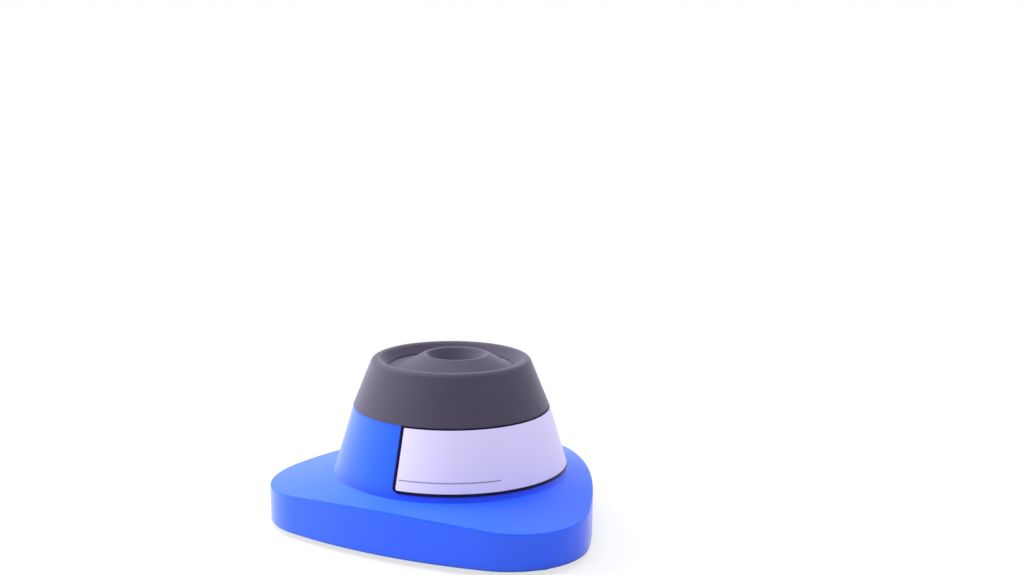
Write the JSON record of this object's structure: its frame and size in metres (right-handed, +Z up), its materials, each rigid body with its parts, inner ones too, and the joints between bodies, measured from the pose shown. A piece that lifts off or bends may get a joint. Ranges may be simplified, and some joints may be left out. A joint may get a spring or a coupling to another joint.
{
  "type": "vortex mixer",
  "caption": "Touch-run vortex mixer: three-cornered flared base, tapered neck with a blank label, soft cover ring and an orbiting soft cup for a tube's tip.",
  "frame": {"origin": "middle of the footprint's bounding box, on the tabletop; the drive axis stands 7.95 mm behind it in +Y", "axes": "+Z up along the drive axis, -Y towards the front corner that carries the label, +X to the right seen from the front"},
  "size_m": [0.1288, 0.1234, 0.0655],
  "materials": {
    "blue_plastic": "satin moulded plastic",
    "grey_silicone": "matte soft moulding",
    "label_film": "printed film, pale with a dark border",
    "foot_rubber": "matte",
    "dark_plastic": "fine grain",
    "zinc_steel": "zinc plated",
    "bearing_steel": "ground and polished",
    "motor_steel": "nickel plated",
    "ferrite": "sintered, matte",
    "core_steel": "stacked sheet",
    "copper": "enamelled winding",
    "brass": "tin plated in use, bare at the edges",
    "bronze": "sintered, oiled",
    "carbon": "pressed carbon",
    "white_nylon": "natural moulded nylon",
    "hub_alloy": "turned",
    "spring_steel": "drawn wire",
    "red_insulation": "lead insulation",
    "black_insulation": "lead insulation"
  },
  "bodies": {
    "base": {"housing_shell": "blue_plastic", "bottom_plate": "dark_plastic", "ballast_plate": "zinc_steel", "base_screws": "zinc_steel", "foot_front": "foot_rubber", "foot_rear_left": "foot_rubber", "foot_rear_right": "foot_rubber", "front_label": "label_film", "top_cover": "grey_silicone", "guide_screws": "zinc_steel", "press_spring_front": "spring_steel", "press_spring_right": "spring_steel", "press_spring_left": "spring_steel", "switch_body": "dark_plastic", "switch_terminals": "brass", "switch_screws": "zinc_steel", "dc_jack_body": "dark_plastic", "dc_jack_pin": "brass", "dc_jack_nut": "zinc_steel", "dc_jack_tags": "brass", "lead_jack_to_switch": "red_insulation", "lead_switch_to_motor": "red_insulation", "lead_jack_to_motor": "black_insulation"},
    "plunger": {"switch_plunger": "white_nylon"},
    "drive_unit": {"motor_bracket": "zinc_steel", "guide_bushes": "white_nylon", "motor_can": "motor_steel", "motor_end_cap": "white_nylon", "motor_front_bush": "bronze", "motor_rear_bush": "bronze", "motor_magnets": "ferrite", "motor_brushes": "carbon", "motor_terminals": "brass", "motor_screws": "zinc_steel"},
    "rotor": {"motor_shaft": "bearing_steel", "armature_core": "core_steel", "armature_windings": "copper", "motor_commutator": "copper", "eccentric_hub": "hub_alloy", "hub_set_screw": "spring_steel", "bearing_inner_race": "bearing_steel"},
    "ball_set": {"bearing_balls": "bearing_steel", "bearing_cage": "brass"},
    "cup": {"cup_head": "grey_silicone", "cup_carrier": "dark_plastic", "bearing_outer_race": "bearing_steel"}
  },
  "joints": [
    {"name": "press", "type": "slide", "parent": "base", "child": "drive_unit", "axis": [0, 0, 1], "range_m": [-0.0012, 0], "stiffness_N_per_m": 800, "springref_m": 0.004, "deforming": ["press_spring_front", "press_spring_right", "press_spring_left"]},
    {"name": "plunger_travel", "type": "slide", "parent": "base", "child": "plunger", "axis": [0, 0, 1], "range_m": [-0.0012, 0]},
    {"name": "spin", "type": "hinge", "parent": "drive_unit", "child": "rotor", "pos_m": [0, 0.00795, 0.0434], "axis": [0, 0, 1], "continuous": true},
    {"name": "cup_orbit", "type": "hinge", "parent": "rotor", "child": "cup", "pos_m": [0.002, 0.00795, 0.048], "axis": [0, 0, 1], "continuous": true},
    {"name": "ball_roll", "type": "hinge", "parent": "rotor", "child": "ball_set", "pos_m": [0.002, 0.00795, 0.048], "axis": [0, 0, 1], "continuous": true}
  ],
  "couplings": [
    {"joint": "plunger_travel", "follows": "press", "ratio": 1},
    {"joint": "cup_orbit", "follows": "spin", "ratio": -1},
    {"joint": "ball_roll", "follows": "spin", "ratio": -0.59583}
  ]
}
